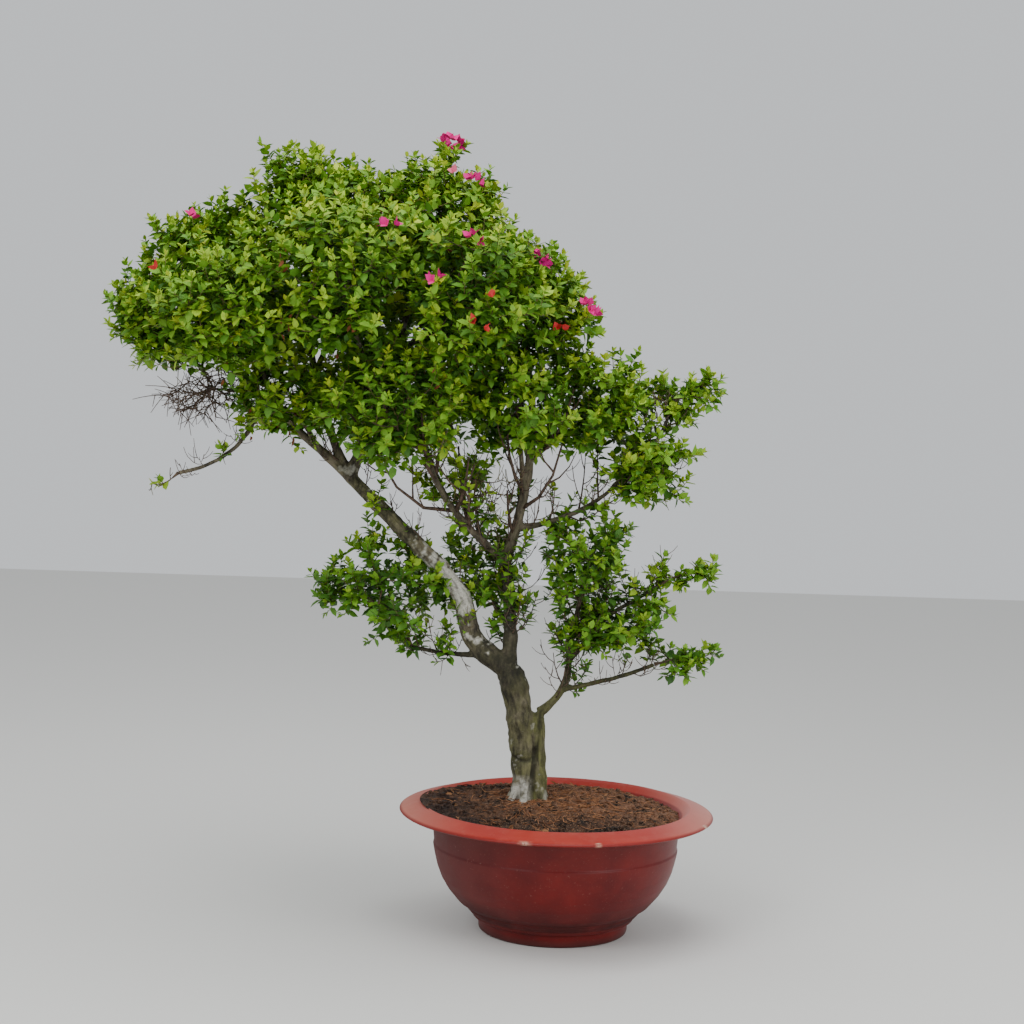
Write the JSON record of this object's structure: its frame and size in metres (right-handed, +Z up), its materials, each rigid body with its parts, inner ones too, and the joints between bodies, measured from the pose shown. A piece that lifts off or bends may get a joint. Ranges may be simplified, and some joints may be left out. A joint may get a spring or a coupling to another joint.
{
  "type": "potted bougainvillea bush",
  "caption": "Bougainvillea bush trained as a leaning tree, with a broad domed crown on forked boughs, standing in a wide round earthenware pot filled with soil.",
  "frame": {"origin": "middle of the pot's flat underside", "axes": "+Z up; +X to the right of the view in which the crown leans to the left; +Y away from the viewer"},
  "size_m": [1.5861, 0.9027, 2],
  "materials": {
    "earthenware": "weathered red-brown earthenware, slightly satin",
    "soil": "dark moist potting soil",
    "bark": "rough olive-grey bark",
    "foliage": "green leaves with a slight gloss",
    "twigs": "dry brown twigs"
  },
  "bodies": {
    "root": {"bare_left_limb": "bark", "bare_twigs_left": "twigs", "centre_bough": "bark", "centre_left_limb": "bark", "centre_right_limb": "bark", "foliage_arm": "foliage", "foliage_far_left": "foliage", "foliage_hanging": "foliage", "foliage_inner": "foliage", "foliage_left_back": "foliage", "foliage_left_front": "foliage", "foliage_left_top": "foliage", "foliage_low_back": "foliage", "foliage_low_bough": "foliage", "foliage_low_centre": "foliage", "foliage_low_front": "foliage", "foliage_low_left": "foliage", "foliage_low_right": "foliage", "foliage_mid_back": "foliage", "foliage_mid_front": "foliage", "foliage_right_back": "foliage", "foliage_right_edge": "foliage", "foliage_right_front": "foliage", "foliage_right_low": "foliage", "foliage_right_mid": "foliage", "foliage_right_tip": "foliage", "foliage_right_up": "foliage", "foliage_shoulder": "foliage", "foliage_spray": "foliage", "foliage_top_left": "foliage", "foliage_top_right": "foliage", "hanging_twig": "bark", "inner_limb": "bark", "left_back_limb": "bark", "left_bough": "bark", "left_front_limb": "bark", "left_limb": "bark", "left_top_limb": "bark", "low_back_limb": "bark", "low_centre_limb": "bark", "low_left_bough": "bark", "low_left_limb": "bark", "low_right_limb": "bark", "mid_back_limb": "bark", "mid_front_limb": "bark", "middle_limb": "bark", "pot": "earthenware", "right_arm": "bark", "right_back_limb": "bark", "right_bough": "bark", "right_front_limb": "bark", "right_limb": "bark", "right_low_limb": "bark", "right_mid_limb": "bark", "right_tip_limb": "bark", "right_up_limb": "bark", "shoulder_limb": "bark", "soil": "soil", "spray_limb": "bark", "trunk": "bark"}
  },
  "joints": []
}
